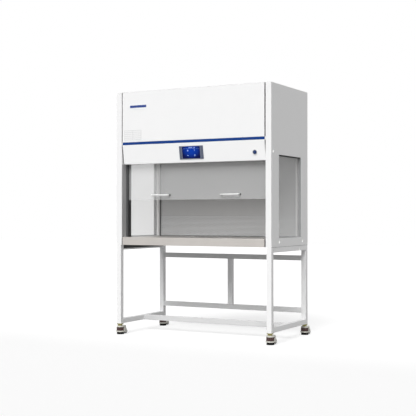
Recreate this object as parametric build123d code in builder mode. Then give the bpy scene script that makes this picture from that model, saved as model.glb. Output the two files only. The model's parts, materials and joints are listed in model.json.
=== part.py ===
from build123d import *
import math
import os

# Vertical laminar flow hood, 1.3 m class: a folded-steel cabinet with a glazed
# sash and side windows, on a square-tube stand with four levelling casters.
# Millimetres. X is across, the front faces -Y, Z is up from the floor.
# The origin is on the floor, in the middle of the casters' footprint.

os.makedirs("parts", exist_ok=True)

# ---- cabinet ----
width = 1300.0
depth = 670.0
height = 1850.0
wall = 45.0                # thickness of the hollow side walls
sheet = 1.2                # folded steel sheet
bend = 2.5                 # outside radius of a fold
edge_round = 1.5           # softened corner of a side wall
panel_gap = 8.0            # shadow gap between the walls and the front panels
stand_top = 685.0          # the cabinet sits here
worktop_rise = 60.0        # worktop above the stand
worktop_depth = 575.0      # front lip to the back grille
lip_return = 22.0
back_flange = 15.0

# ---- head of the cabinet ----
head_bottom = 1301.0       # lower edge of the control panel
strip_bottom = 1447.0
strip_height = 20.0
strip_depth = 4.0
strip_edge = 0.75
beam_depth = 36.0
beam_wall = 1.5
panel_setback = 24.0       # how far the control panel leans back at its foot
panel_underside = 36.0
panel_hem = 12.0
panel_sheet = 1.5
ceiling_height = 1350.0    # underside of the ceiling diffuser
ceiling_front = 90.0
ceiling_flange = 19.0

# ---- side windows ----
window_front = 131.0
window_length = 410.0
window_sill = 3.0          # above the worktop
window_height = 597.0
window_glass = 5.0

# ---- sash ----
sash_setback = 72.0
sash_glass_thickness = 5.0
sash_height = 590.0
sash_rest = 1028.0         # lower edge of the sash as it stands open
sash_play = 0.05
sash_side_gap = 3.5
sash_edge = 1.0
guide_width = 17.0
guide_web = 2.0
guide_front_wall = 9.0
guide_channel = 25.0
guide_depth = 66.0
guide_flange = 3.0
guide_top_gap = 0.8        # below the lip of the top cover
handle_length = 155.0
handle_reach = 32.0
handle_height = 12.0
handle_bar = 7.0
handle_leg = 9.0
handle_round = 6.0
handle_spacing = 591.0     # between the middles of the two handles
handle_rise = 36.0         # middle of the handles above the sash's lower edge

# ---- control panel fittings ----
screen_width = 200.0
screen_height = 98.0
screen_proud = 4.0
display_width = 152.0
display_height = 90.0
display_pocket = 3.0
display_glass = 2.4
screen_box_depth = 22.0
screen_box_margin = 4.0
button_end_gap = 81.0      # from the end of the panel
button_drop = 88.0         # down the slope from the strip
button_radius = 15.0
button_ring_radius = 19.5
button_ring_height = 3.0
button_barrel_radius = 17.0
button_barrel_depth = 22.0
button_floor = 2.0
button_proud = 4.5
button_play = 0.1
button_cap_depth = 6.0
button_edge = 1.5
button_stem_radius = 5.0
button_stem_length = 8.0

# ---- air system ----
filter_height = 69.0
filter_frame = 18.0
filter_margin = 15.0
pleat_pitch = 36.0
pleat_drop = 9.0
pleat_gap = 4.0
plenum_height = 60.0
impeller_radius = 95.0
impeller_width = 190.0
blade_count = 30
blade_depth = 17.0
blade_sheet = 1.2
blade_bow = 3.0            # how far the middle of a blade bows forward
blade_lead = 12.0          # how far its outer edge leads
blade_inset = 1.0          # between its outer edge and the rim of the rings
ring_overlap = 2.0         # the rings reach this far past the blades' roots
ring_sheet = 3.0
hub_radius = 16.0
hub_length = 20.0
shaft_radius = 6.0
shaft_length = 47.5
shaft_play = 0.05
scroll_start = 104.0
scroll_end = 152.0
scroll_arcs = 4
scroll_side_gap = 10.0
inlet_radius = 86.0
inlet_lip = 6.0
outlet_drop = 190.0        # blower axis above the plenum
cutoff_angle = -100.0
motor_radius = 54.0
motor_gap = 6.0
motor_arms = 3
motor_arm_width = 16.0
motor_arm_sheet = 3.0
prefilter_length = 360.0
prefilter_width = 300.0
prefilter_height = 40.0
prefilter_frame = 12.0
prefilter_x = -340.0
louvre_count = 13
louvre_length = 312.0
louvre_slot = 9.0
louvre_pitch = 20.0
cover_lip = 14.0
cover_lip_inset = 17.0
box_length = 220.0
box_depth = 180.0
box_height = 90.0
box_x = 380.0
box_wall = 1.5

# ---- lamps ----
lamp_radius = 13.0
lamp_end_gap = 51.0        # between a side wall and the holders
lamp_setback = 112.0
lamp_spacing = 42.0
lamp_drop = 17.0
holder_length = 14.0
holder_width = 30.0

# ---- stand ----
tube = 38.0
tube_wall = 1.5
tube_round = 2.5
back_rail_top = 604.0
middle_rail_top = 205.0
foot_rail_setback = 326.0
ledge_width = 30.0
ledge_height = 25.0
ledge_sheet = 2.0

# ---- levelling casters ----
caster_height = 82.0
plate_size = 36.0
plate_thickness = 8.0
race_radius = 17.0
race_height = 8.0
race_gap = 0.6
king_pin_radius = 5.0
king_pin_length = 9.0
king_pin_play = 0.05
trail_angle = 75.0         # way the casters trail, from +X towards +Y
trail_shift = 17.5         # the trailing casters put the footprint's middle this far back
pad_offset = 4.0           # pad axis behind the swivel axis
body_radius = 35.5
body_wall = 3.0
body_taper = 7.5
body_bottom = 12.0
body_skirt = 18.5          # lower edge of the ring round the foot
window_low = 27.5
window_high = 54.5
window_back = 10.0
cap_edge = 3.0
tail_radius = 18.0
tail_center = 44.0
pin_bore_depth = 10.0
wheel_radius = 16.0
wheel_width = 19.0
wheel_center = 51.0        # behind the swivel axis
wheel_lift = 3.0
wheel_edge = 2.0
wheel_gap = 1.2
axle_radius = 3.0
axle_boss_radius = 6.0
axle_play = 0.05
axle_bite = 2.6
dial_radius = 30.0
dial_gap = 0.6
dial_bottom = 29.0
dial_height = 24.0
dial_scallops = 12
scallop_radius = 3.0
dial_dish = 10.0
dial_rim = 6.0
screw_radius = 7.0
screw_play = 0.05
screw_top = 42.0
pad_radius = 28.0
pad_thickness = 14.0
pad_cup_top = 17.5
pad_cup_taper = 30.0

# ---- fasteners ----
side_screw_radius = 5.0
side_screw_height = 2.6
side_screw_taper = 30.0
side_screws = [(35.0, 1363.0), (137.0, 719.0), (566.0, 718.0)]

# ---- planes and edges that follow from these ----
worktop_height = stand_top + worktop_rise
window_bottom = worktop_height + window_sill
front = -depth / 2 - trail_shift
back = front + depth
middle = front + depth / 2
outer = width / 2
inner = outer - wall
panel_half = inner - panel_gap
button_x = panel_half - button_end_gap
cover_underside = height - sheet
guide_top = cover_underside - cover_lip - guide_top_gap
strip_top = strip_bottom + strip_height
grille_y = front + worktop_depth
sash_y = front + sash_setback
window_start = front + window_front
sides = {"left": -1, "right": 1}


def folded(points, thickness, side):
    """Add the outline of a folded sheet to the sketch in hand."""
    with BuildLine() as fold:
        FilletPolyline(*points, radius=bend)
        offset(amount=thickness, side=side)
    make_face(fold.edges())


def rounded_tube(size, thickness, radius):
    """Add a hollow square section to the sketch in hand."""
    RectangleRounded(size, size, radius)
    inside = size - 2 * thickness
    Rectangle(inside, inside, mode=Mode.SUBTRACT)


def save(part, name):
    part.label = name
    export_step(part, f"parts/{name}.step")


# ======================= stand =======================
leg_x = outer - tube / 2
leg_y = {"front": front + tube / 2, "back": back - tube / 2}

for end, y in leg_y.items():
    for side, sign in sides.items():
        with BuildPart() as leg:
            with BuildSketch(Plane((sign * leg_x, y, caster_height))):
                rounded_tube(tube, tube_wall, tube_round)
            extrude(amount=stand_top - caster_height)
        save(leg.part, f"leg_{end}_{side}")

side_rail_length = depth - 2 * tube
for side, sign in sides.items():
    for rail_name, rail_z in (
        ("top_rail", stand_top - tube / 2),
        ("foot_side_rail", caster_height + tube / 2),
    ):
        with BuildPart() as rail:
            with BuildSketch(Plane((sign * leg_x, front + tube, rail_z), z_dir=(0, 1, 0))):
                rounded_tube(tube, tube_wall, tube_round)
            extrude(amount=side_rail_length)
        save(rail.part, f"{rail_name}_{side}")

cross_rail_length = width - 2 * tube
foot_rail_y = front + foot_rail_setback + tube / 2
for rail_name, rail_y, rail_z in (
    ("back_top_rail", back - tube / 2, back_rail_top - tube / 2),
    ("back_middle_rail", back - tube / 2, middle_rail_top - tube / 2),
    ("foot_cross_rail", foot_rail_y, caster_height + tube / 2),
):
    with BuildPart() as rail:
        with BuildSketch(Plane((-cross_rail_length / 2, rail_y, rail_z), z_dir=(1, 0, 0))):
            rounded_tube(tube, tube_wall, tube_round)
        extrude(amount=cross_rail_length)
    save(rail.part, rail_name)

with BuildPart() as strut:
    with BuildSketch(Plane((0, back - tube / 2, middle_rail_top))):
        rounded_tube(tube, tube_wall, tube_round)
    extrude(amount=back_rail_top - tube - middle_rail_top)
save(strut.part, "back_strut")

# ======================= levelling casters =======================
race_bottom = caster_height - plate_thickness - race_height

with BuildPart() as caster_plates:
    corners = [(sign * leg_x, y) for y in leg_y.values() for sign in sides.values()]
    with BuildSketch(Plane.XY.offset(caster_height - plate_thickness)):
        with Locations(*corners):
            Rectangle(plate_size, plate_size)
    extrude(amount=plate_thickness)
    with BuildSketch(Plane.XY.offset(race_bottom)):
        with Locations(*corners):
            Circle(race_radius)
    extrude(amount=race_height)
    with BuildSketch(Plane.XY.offset(race_bottom)):
        with Locations(*corners):
            Circle(king_pin_radius)
    extrude(amount=-king_pin_length)
save(caster_plates.part, "caster_plates")

trail = Vector(math.cos(math.radians(trail_angle)), math.sin(math.radians(trail_angle)))
body_top = race_bottom - race_gap
wheel_z = wheel_lift + wheel_radius
cheek_inner = wheel_width / 2 + wheel_gap
cheek_outer = cheek_inner + body_wall


def caster_plane(x, y):
    """Floor plane of one caster: its own Y is the way it trails, its X the axle."""
    return Plane((x, y, 0), x_dir=trail.rotate(Axis.Z, -90), z_dir=(0, 0, 1))


def body_outline(inset, nose_radius, tail):
    """Teardrop seen from above: a round nose over the foot, a narrower tail."""
    with Locations((0, pad_offset)):
        Circle(nose_radius - inset)
    with Locations((0, tail)):
        Circle(tail_radius - inset)
    make_hull()


def build_caster_body(plane, name):
    with BuildPart(plane) as body:
        with BuildSketch(plane.offset(body_bottom)):
            body_outline(0, body_radius, tail_center)
        extrude(amount=body_top - body_bottom, taper=body_taper)
        top_edges = body.faces().sort_by(Axis.Z)[-1].edges()
        chamfer(top_edges, length=cap_edge)
        # hollow, under a cap that keeps a boss for the king pin
        with BuildSketch(plane.offset(body_bottom)):
            body_outline(body_wall, body_radius, tail_center)
        extrude(
            amount=window_high - body_bottom,
            taper=body_taper,
            mode=Mode.SUBTRACT,
        )
        # the nose ends above the foot's cup, the tail goes on down to the axle
        with BuildSketch(plane.offset(body_bottom)):
            with Locations((0, -body_radius)):
                Rectangle(4 * body_radius, 2 * (body_radius + pad_offset + pad_radius))
        extrude(amount=body_skirt - body_bottom, mode=Mode.SUBTRACT)
        # window that shows the dial
        with BuildSketch(plane.offset(window_low)):
            with Locations((0, -body_radius)):
                Rectangle(4 * body_radius, 2 * (body_radius + window_back))
        extrude(amount=window_high - window_low, mode=Mode.SUBTRACT)
        with BuildSketch(plane.offset(window_low)):
            with Locations((0, pad_offset)):
                Circle(dial_radius + dial_gap)
        extrude(amount=window_high - window_low, mode=Mode.SUBTRACT)
        # cheeks beside the wheel, with the axle holes
        cheek_plane = Plane(plane.origin, x_dir=plane.y_dir, z_dir=plane.x_dir)
        for sign in sides.values():
            start = cheek_inner if sign > 0 else -cheek_outer
            with BuildSketch(cheek_plane.offset(start)):
                with Locations((wheel_center, wheel_z)):
                    Circle(axle_boss_radius)
                with Locations((wheel_center, body_bottom + tail_radius)):
                    Rectangle(2 * axle_boss_radius, tail_radius)
            extrude(amount=body_wall)
        with BuildSketch(cheek_plane.offset(-cheek_inner - axle_bite)):
            with Locations((wheel_center, wheel_z)):
                Circle(axle_radius + axle_play)
        extrude(amount=2 * (cheek_inner + axle_bite), mode=Mode.SUBTRACT)
        # open back and underside round the wheel
        with BuildSketch(cheek_plane.offset(-cheek_inner)):
            with Locations((wheel_center, wheel_z)):
                Circle(wheel_radius + wheel_gap)
        extrude(amount=2 * cheek_inner, mode=Mode.SUBTRACT)
        with BuildSketch(plane.offset(body_top)):
            Circle(king_pin_radius + king_pin_play)
        extrude(amount=-pin_bore_depth, mode=Mode.SUBTRACT)
    save(body.part, name)


def build_caster_wheel(plane, name):
    axle_plane = Plane(plane.origin, x_dir=plane.y_dir, z_dir=plane.x_dir)
    axle = axle_plane.from_local_coords(Vector(wheel_center, wheel_z, 0))
    section = Plane(axle, x_dir=plane.x_dir, z_dir=-plane.y_dir)
    half = wheel_width / 2
    axle_half = cheek_inner + axle_bite - axle_play
    with BuildPart(plane) as wheel:
        with BuildSketch(section):
            with BuildLine():
                Polyline(
                    (-axle_half, 0),
                    (-axle_half, axle_radius),
                    (-half, axle_radius),
                    (-half, wheel_radius - wheel_edge),
                    (wheel_edge - half, wheel_radius),
                    (half - wheel_edge, wheel_radius),
                    (half, wheel_radius - wheel_edge),
                    (half, axle_radius),
                    (axle_half, axle_radius),
                    (axle_half, 0),
                    close=True,
                )
            make_face()
        revolve(axis=Axis(axle, plane.x_dir))
    save(wheel.part, name)


def build_caster_dial(plane, name):
    with BuildPart(plane) as dial:
        with BuildSketch(plane.offset(dial_bottom)):
            with Locations((0, pad_offset)):
                Circle(dial_radius)
                with PolarLocations(dial_radius, dial_scallops):
                    RegularPolygon(scallop_radius, 4, mode=Mode.SUBTRACT)
                Circle(screw_radius + screw_play, mode=Mode.SUBTRACT)
        extrude(amount=dial_height)
        # a dish above leaves the knurled rim standing
        with BuildSketch(plane.offset(dial_bottom + dial_height - dial_dish)):
            with Locations((0, pad_offset)):
                Circle(dial_radius - dial_rim)
        extrude(amount=dial_dish, mode=Mode.SUBTRACT)
    save(dial.part, name)


def build_caster_pad(plane, name):
    with BuildPart(plane) as pad:
        with BuildSketch(plane):
            with Locations((0, pad_offset)):
                Circle(pad_radius)
        extrude(amount=pad_thickness)
        with BuildSketch(plane.offset(pad_thickness)):
            with Locations((0, pad_offset)):
                Circle(pad_radius)
        extrude(amount=pad_cup_top - pad_thickness, taper=pad_cup_taper)
        with BuildSketch(plane.offset(pad_cup_top)):
            with Locations((0, pad_offset)):
                Circle(screw_radius)
        extrude(amount=screw_top - pad_cup_top)
    save(pad.part, name)


for end, y in leg_y.items():
    for side, sign in sides.items():
        floor_plane = caster_plane(sign * leg_x, y)
        build_caster_body(floor_plane, f"caster_body_{end}_{side}")
        build_caster_wheel(floor_plane, f"caster_wheel_{end}_{side}")
        build_caster_dial(floor_plane, f"caster_dial_{end}_{side}")
        build_caster_pad(floor_plane, f"caster_pad_{end}_{side}")

# ======================= side walls and windows =======================
window_center = (window_start + window_length / 2, window_bottom + window_height / 2)
wall_height = cover_underside - stand_top


def window_outline(grow, mode):
    with Locations(window_center):
        Rectangle(window_length + 2 * grow, window_height + 2 * grow, mode=mode)


for side, sign in sides.items():
    wall_start = inner if sign > 0 else -outer
    with BuildPart() as side_wall:
        with BuildSketch(Plane.YZ.offset(wall_start)):
            with Locations((middle, stand_top + wall_height / 2)):
                Rectangle(depth, wall_height)
            window_outline(0, Mode.SUBTRACT)
        extrude(amount=wall)
        uprights = side_wall.edges().filter_by(Axis.Z).group_by(Axis.Y)
        fillet(uprights[0] + uprights[-1], radius=edge_round)
        with BuildSketch(Plane.YZ.offset(wall_start + sheet)):
            with Locations((middle, stand_top + sheet + wall_height / 2)):
                Rectangle(depth - 2 * sheet, wall_height)
            window_outline(sheet, Mode.SUBTRACT)
        extrude(amount=wall - 2 * sheet, mode=Mode.SUBTRACT)
    save(side_wall.part, f"side_wall_{side}")

with BuildPart() as side_windows:
    for sign in sides.values():
        glass_start = sign * (inner + wall / 2) - window_glass / 2
        with BuildSketch(Plane.YZ.offset(glass_start)):
            window_outline(0, Mode.ADD)
        extrude(amount=window_glass)
save(side_windows.part, "side_windows")

with BuildPart() as side_screw_set:
    for sign in sides.values():
        for setback, z in side_screws:
            seat = Plane((sign * outer, front + setback, z), z_dir=(sign, 0, 0))
            with BuildSketch(seat):
                Circle(side_screw_radius)
            extrude(amount=side_screw_height, taper=side_screw_taper)
save(side_screw_set.part, "side_screws")

# ======================= front of the head =======================
beam_start = front + strip_depth
with BuildPart() as head_beam:
    with BuildSketch(Plane.YZ.offset(-inner)):
        with Locations((beam_start + beam_depth / 2, strip_bottom + strip_height / 2)):
            Rectangle(beam_depth, strip_height)
            Rectangle(
                beam_depth - 2 * beam_wall,
                strip_height - 2 * beam_wall,
                mode=Mode.SUBTRACT,
            )
    extrude(amount=2 * inner)
save(head_beam.part, "head_beam")

with BuildPart() as front_panel:
    with BuildSketch(Plane.YZ.offset(-panel_half)):
        folded(
            [
                (front + back_flange, strip_top),
                (front, strip_top),
                (front, cover_underside),
                (front + back_flange, cover_underside),
            ],
            sheet,
            Side.RIGHT,
        )
    extrude(amount=2 * panel_half)
save(front_panel.part, "front_panel")

with BuildPart() as accent_strip:
    with BuildSketch(Plane.YZ.offset(-panel_half)):
        with Locations((front + strip_depth / 2, strip_bottom + strip_height / 2)):
            Rectangle(strip_depth, strip_height)
    extrude(amount=2 * panel_half)
    fillet(accent_strip.edges().filter_by(Axis.X).group_by(Axis.Y)[0], radius=strip_edge)
save(accent_strip.part, "accent_strip")

panel_foot_y = front + panel_setback
slope_height = strip_bottom - head_bottom
slope_length = math.hypot(slope_height, panel_setback)
outward = Vector(0, -slope_height, -panel_setback).normalized()
downhill = Vector(0, panel_setback, -slope_height).normalized()
slope_top = Vector(0, front, strip_bottom)


def slope_plane(x, drop):
    """Plane on the leaning face, x across and drop down it from the strip."""
    return Plane(slope_top + downhill * drop + Vector(x, 0, 0), x_dir=(1, 0, 0), z_dir=outward)


screen_plane = slope_plane(0, slope_length / 2)
button_plane = slope_plane(button_x, button_drop)
screen_box_width = display_width - 2 * screen_box_margin
screen_box_height = display_height - 2 * screen_box_margin

with BuildPart() as control_panel:
    with BuildSketch(Plane.YZ.offset(-panel_half)):
        folded(
            [
                (front + beam_depth, strip_bottom),
                (front, strip_bottom),
                (panel_foot_y, head_bottom),
                (panel_foot_y + panel_underside, head_bottom),
                (panel_foot_y + panel_underside, head_bottom + panel_hem),
            ],
            panel_sheet,
            Side.LEFT,
        )
    extrude(amount=2 * panel_half)
    with BuildSketch(screen_plane):
        Rectangle(screen_box_width, screen_box_height)
    extrude(amount=-2 * panel_sheet, mode=Mode.SUBTRACT)
    with BuildSketch(button_plane):
        Circle(button_barrel_radius)
    extrude(amount=-2 * panel_sheet, mode=Mode.SUBTRACT)
save(control_panel.part, "control_panel")

with BuildPart() as screen_bezel:
    with BuildSketch(screen_plane):
        RectangleRounded(screen_width, screen_height, bend)
    extrude(amount=screen_proud)
    with BuildSketch(screen_plane.offset(screen_proud)):
        Rectangle(display_width, display_height)
    extrude(amount=-display_pocket, mode=Mode.SUBTRACT)
    with BuildSketch(screen_plane):
        Rectangle(screen_box_width, screen_box_height)
    extrude(amount=-screen_box_depth)
save(screen_bezel.part, "screen_bezel")

with BuildPart() as screen_glass:
    with BuildSketch(screen_plane.offset(screen_proud - display_pocket)):
        Rectangle(display_width, display_height)
    extrude(amount=display_glass)
save(screen_glass.part, "screen_glass")

with BuildPart() as button_ring:
    with BuildSketch(button_plane):
        Circle(button_ring_radius)
    extrude(amount=button_ring_height)
    with BuildSketch(button_plane):
        Circle(button_barrel_radius)
    extrude(amount=-button_barrel_depth)
    with BuildSketch(button_plane.offset(button_ring_height)):
        Circle(button_radius + button_play)
    extrude(
        amount=-(button_ring_height + button_barrel_depth - button_floor),
        mode=Mode.SUBTRACT,
    )
save(button_ring.part, "button_ring")

with BuildPart() as start_button:
    with BuildSketch(button_plane.offset(-button_cap_depth)):
        Circle(button_radius)
    extrude(amount=button_cap_depth + button_proud)
    with BuildSketch(button_plane.offset(-button_cap_depth)):
        Circle(button_stem_radius)
    extrude(amount=-button_stem_length)
    cap_rim = start_button.edges().filter_by(GeomType.CIRCLE).sort_by(Axis.Y)[0]
    chamfer(cap_rim, length=button_edge)
save(start_button.part, "start_button")

# ======================= work chamber =======================
with BuildPart() as work_surface:
    with BuildSketch(Plane.YZ.offset(-panel_half)):
        folded(
            [
                (front + lip_return, stand_top),
                (front, stand_top),
                (front, worktop_height),
                (grille_y, worktop_height),
                (grille_y, worktop_height - ledge_height),
            ],
            sheet,
            Side.RIGHT,
        )
    extrude(amount=2 * panel_half)
save(work_surface.part, "work_surface")

ledge_start = front + lip_return
ledge_length = grille_y - sheet - bend - ledge_start
with BuildPart() as worktop_ledges:
    for sign in sides.values():
        with BuildSketch(Plane.XZ.offset(-ledge_start)):
            with Locations((sign * (inner - ledge_width / 2), worktop_height - sheet - ledge_sheet / 2)):
                Rectangle(ledge_width, ledge_sheet)
            with Locations((sign * (inner - ledge_sheet / 2), worktop_height - sheet - ledge_height / 2)):
                Rectangle(ledge_sheet, ledge_height)
        extrude(amount=-ledge_length)
save(worktop_ledges.part, "worktop_ledges")

with BuildPart() as base_pan:
    pan_start = front + lip_return
    pan_end = back - back_flange
    with BuildSketch(Plane.XY.offset(stand_top)):
        with Locations((0, (pan_start + pan_end) / 2)):
            Rectangle(2 * inner, pan_end - pan_start)
    extrude(amount=sheet)
save(base_pan.part, "base_pan")

with BuildPart() as back_grille:
    grille_foot = stand_top + sheet
    with BuildSketch(Plane.YZ.offset(-inner)):
        folded(
            [
                (grille_y + back_flange, grille_foot),
                (grille_y, grille_foot),
                (grille_y, ceiling_height + sheet),
                (grille_y + back_flange, ceiling_height + sheet),
            ],
            sheet,
            Side.RIGHT,
        )
    extrude(amount=2 * inner)
save(back_grille.part, "back_grille")

with BuildPart() as back_cover:
    with BuildSketch(Plane.YZ.offset(-inner)):
        folded(
            [
                (back - back_flange, stand_top),
                (back, stand_top),
                (back, cover_underside),
                (back - back_flange, cover_underside),
            ],
            sheet,
            Side.LEFT,
        )
    extrude(amount=2 * inner)
save(back_cover.part, "back_cover")

diffuser_start = front + ceiling_front
diffuser_half = inner - guide_flange
with BuildPart() as ceiling_diffuser:
    with BuildSketch(Plane.YZ.offset(-diffuser_half)):
        folded(
            [
                (diffuser_start, ceiling_height + ceiling_flange),
                (diffuser_start, ceiling_height),
                (grille_y, ceiling_height),
            ],
            sheet,
            Side.LEFT,
        )
    extrude(amount=2 * diffuser_half)
save(ceiling_diffuser.part, "ceiling_diffuser")

# ======================= air system =======================
filter_start = diffuser_start + sheet + bend
filter_end = grille_y
filter_depth = filter_end - filter_start
filter_width = 2 * (inner - filter_margin)
filter_bottom = ceiling_height + sheet
filter_top = filter_bottom + filter_height
filter_middle = (filter_start + filter_end) / 2
pack_width = filter_width - 2 * filter_frame
pleat_count = int(pack_width / pleat_pitch)

with BuildPart() as hepa_filter:
    with BuildSketch(Plane.XY.offset(filter_bottom)):
        with Locations((0, filter_middle)):
            Rectangle(filter_width, filter_depth)
            Rectangle(pack_width, filter_depth - 2 * filter_frame, mode=Mode.SUBTRACT)
    extrude(amount=filter_height)
    # the pleated pack fills the frame between its rims
    with BuildSketch(Plane.XY.offset(filter_bottom + pleat_gap)):
        with Locations((0, filter_middle)):
            Rectangle(pack_width, filter_depth - 2 * filter_frame)
    extrude(amount=filter_height - 2 * pleat_gap)
    with BuildSketch(Plane.XZ.offset(-filter_start - filter_frame)):
        for fold_z, fold_sign in ((filter_bottom + pleat_gap, 1), (filter_top - pleat_gap, -1)):
            for index in range(pleat_count):
                fold_x = (index - (pleat_count - 1) / 2) * pleat_pitch
                with BuildLine():
                    Polyline(
                        (fold_x - pleat_drop, fold_z),
                        (fold_x, fold_z + fold_sign * pleat_drop),
                        (fold_x + pleat_drop, fold_z),
                        (fold_x - pleat_drop, fold_z),
                    )
                make_face()
    extrude(amount=-(filter_depth - 2 * filter_frame), mode=Mode.SUBTRACT)
save(hepa_filter.part, "hepa_filter")

plenum_top = filter_top + plenum_height
blower_y = filter_middle
blower_z = plenum_top + outlet_drop
scroll_half = impeller_width / 2 + scroll_side_gap
inlet_outer = inlet_radius + 2 * sheet
cutoff = math.radians(cutoff_angle)
cutoff_y = scroll_start * math.cos(cutoff)

with BuildPart() as plenum_box:
    with BuildSketch(Plane.XY.offset(filter_top)):
        with Locations((0, filter_middle)):
            Rectangle(filter_width, filter_depth)
            Rectangle(filter_width - 2 * sheet, filter_depth - 2 * sheet, mode=Mode.SUBTRACT)
    extrude(amount=plenum_height - sheet)
    with BuildSketch(Plane.XY.offset(plenum_top - sheet)):
        with Locations((0, filter_middle)):
            Rectangle(filter_width, filter_depth)
        with Locations((0, blower_y + (cutoff_y - scroll_end) / 2)):
            Rectangle(
                2 * (scroll_half - sheet),
                cutoff_y + scroll_end - 2 * sheet,
                mode=Mode.SUBTRACT,
            )
    extrude(amount=sheet)
save(plenum_box.part, "plenum_box")


def scroll_point(turn, inset):
    """Point of the spiral, turn from 0 at the cutoff to 1 at the outlet side."""
    angle = cutoff + turn * (math.pi - cutoff)
    radius = scroll_start + turn * (scroll_end - scroll_start) - inset
    return (radius * math.cos(angle), radius * math.sin(angle))


def scroll_outline(inset, foot):
    """Closed outline of the blower scroll, its outlet pointing down."""
    # inside, the tongue of the cutoff is one sheet thick
    tongue = [(cutoff_y - inset, scroll_point(0, inset)[1])] if inset else []
    with BuildLine() as outline:
        for index in range(scroll_arcs):
            ThreePointArc(
                scroll_point(index / scroll_arcs, inset),
                scroll_point((index + 0.5) / scroll_arcs, inset),
                scroll_point((index + 1) / scroll_arcs, inset),
            )
        Polyline(
            scroll_point(1, inset),
            (-scroll_end + inset, foot),
            (cutoff_y - inset, foot),
            *tongue,
            scroll_point(0, inset),
        )
    make_face(outline.edges())


blower_plane = Plane((0, blower_y, blower_z), x_dir=(0, 1, 0), z_dir=(1, 0, 0))
with BuildPart() as blower_housing:
    with BuildSketch(blower_plane.offset(-scroll_half)):
        scroll_outline(0, -outlet_drop)
    extrude(amount=2 * scroll_half)
    with BuildSketch(blower_plane.offset(-scroll_half + sheet)):
        scroll_outline(sheet, -outlet_drop - sheet)
    extrude(amount=2 * (scroll_half - sheet), mode=Mode.SUBTRACT)
    with BuildSketch(blower_plane.offset(-scroll_half - inlet_lip)):
        Circle(inlet_outer)
    extrude(amount=2 * (scroll_half + inlet_lip))
    with BuildSketch(blower_plane.offset(-scroll_half - inlet_lip)):
        Circle(inlet_radius)
    extrude(amount=2 * (scroll_half + inlet_lip), mode=Mode.SUBTRACT)
    with BuildSketch(blower_plane.offset(-scroll_half + sheet)):
        Circle(inlet_outer)
    extrude(amount=2 * (scroll_half - sheet), mode=Mode.SUBTRACT)
save(blower_housing.part, "blower_housing")

blade_root = impeller_radius - blade_depth
blade_tip = impeller_radius - blade_inset
with BuildPart() as blower_impeller:
    # centre plate, hub and shaft
    with BuildSketch(blower_plane.offset(-ring_sheet / 2)):
        Circle(impeller_radius)
    extrude(amount=ring_sheet)
    with BuildSketch(blower_plane.offset(-hub_length)):
        Circle(hub_radius)
    extrude(amount=hub_length)
    with BuildSketch(blower_plane):
        Circle(shaft_radius)
    extrude(amount=shaft_length)
    # forward-curved blades between the end rings
    with BuildSketch(blower_plane.offset(-impeller_width / 2)):
        with PolarLocations(0, blade_count):
            with BuildLine():
                ThreePointArc(
                    (blade_root, 0),
                    ((blade_root + blade_tip) / 2, blade_bow),
                    (blade_tip, blade_lead),
                )
                offset(amount=blade_sheet, side=Side.LEFT)
            make_face()
    extrude(amount=impeller_width)
    for ring_start in (-impeller_width / 2, impeller_width / 2 - ring_sheet):
        with BuildSketch(blower_plane.offset(ring_start)):
            Circle(impeller_radius)
            Circle(blade_root + ring_overlap, mode=Mode.SUBTRACT)
        extrude(amount=ring_sheet)
save(blower_impeller.part, "blower_impeller")

motor_start = ring_sheet / 2 + motor_gap
motor_end = scroll_half + inlet_lip
with BuildPart() as blower_motor:
    with BuildSketch(blower_plane.offset(motor_start)):
        Circle(motor_radius)
    extrude(amount=motor_end - motor_start)
    with BuildSketch(blower_plane.offset(motor_end)):
        with PolarLocations(inlet_outer / 2, motor_arms):
            Rectangle(inlet_outer, motor_arm_width)
    extrude(amount=motor_arm_sheet)
    with BuildSketch(blower_plane.offset(motor_start)):
        Circle(shaft_radius + shaft_play)
    extrude(amount=shaft_length, mode=Mode.SUBTRACT)
save(blower_motor.part, "blower_motor")

with BuildPart() as top_cover:
    with BuildSketch(Plane.XY.offset(cover_underside)):
        with Locations((0, middle)):
            Rectangle(width, depth)
        with Locations((prefilter_x, middle)):
            with GridLocations(0, louvre_pitch, 1, louvre_count):
                Rectangle(louvre_length, louvre_slot, mode=Mode.SUBTRACT)
    extrude(amount=sheet)
    with BuildSketch(Plane.XY.offset(cover_underside)):
        with Locations((0, middle)):
            Rectangle(2 * inner, depth - 2 * cover_lip_inset)
            Rectangle(
                2 * (inner - sheet),
                depth - 2 * (cover_lip_inset + sheet),
                mode=Mode.SUBTRACT,
            )
    extrude(amount=-cover_lip)
save(top_cover.part, "top_cover")

with BuildPart() as prefilter:
    with BuildSketch(Plane.XY.offset(cover_underside - prefilter_height)):
        with Locations((prefilter_x, middle)):
            Rectangle(prefilter_length, prefilter_width)
    extrude(amount=prefilter_height)
    with BuildSketch(Plane.XY.offset(cover_underside)):
        with Locations((prefilter_x, middle)):
            Rectangle(prefilter_length - 2 * prefilter_frame, prefilter_width - 2 * prefilter_frame)
    extrude(amount=-prefilter_frame, mode=Mode.SUBTRACT)
save(prefilter.part, "prefilter")

with BuildPart() as control_box:
    with BuildSketch(Plane.XY.offset(plenum_top)):
        with Locations((box_x, filter_middle)):
            RectangleRounded(box_length, box_depth, bend)
    extrude(amount=box_height)
    with BuildSketch(Plane.XY.offset(plenum_top + box_wall)):
        with Locations((box_x, filter_middle)):
            Rectangle(box_length - 2 * box_wall, box_depth - 2 * box_wall)
    extrude(amount=box_height - 2 * box_wall, mode=Mode.SUBTRACT)
save(control_box.part, "control_box")

# ======================= lamps =======================
lamp_z = ceiling_height - lamp_drop
lamp_rows = (front + lamp_setback, front + lamp_setback + lamp_spacing)
lamp_half = inner - lamp_end_gap - holder_length
with BuildPart() as lamp_tubes:
    for lamp_y in lamp_rows:
        with BuildSketch(Plane((-lamp_half, lamp_y, lamp_z), z_dir=(1, 0, 0))):
            Circle(lamp_radius)
        extrude(amount=2 * lamp_half)
save(lamp_tubes.part, "lamp_tubes")

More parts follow.
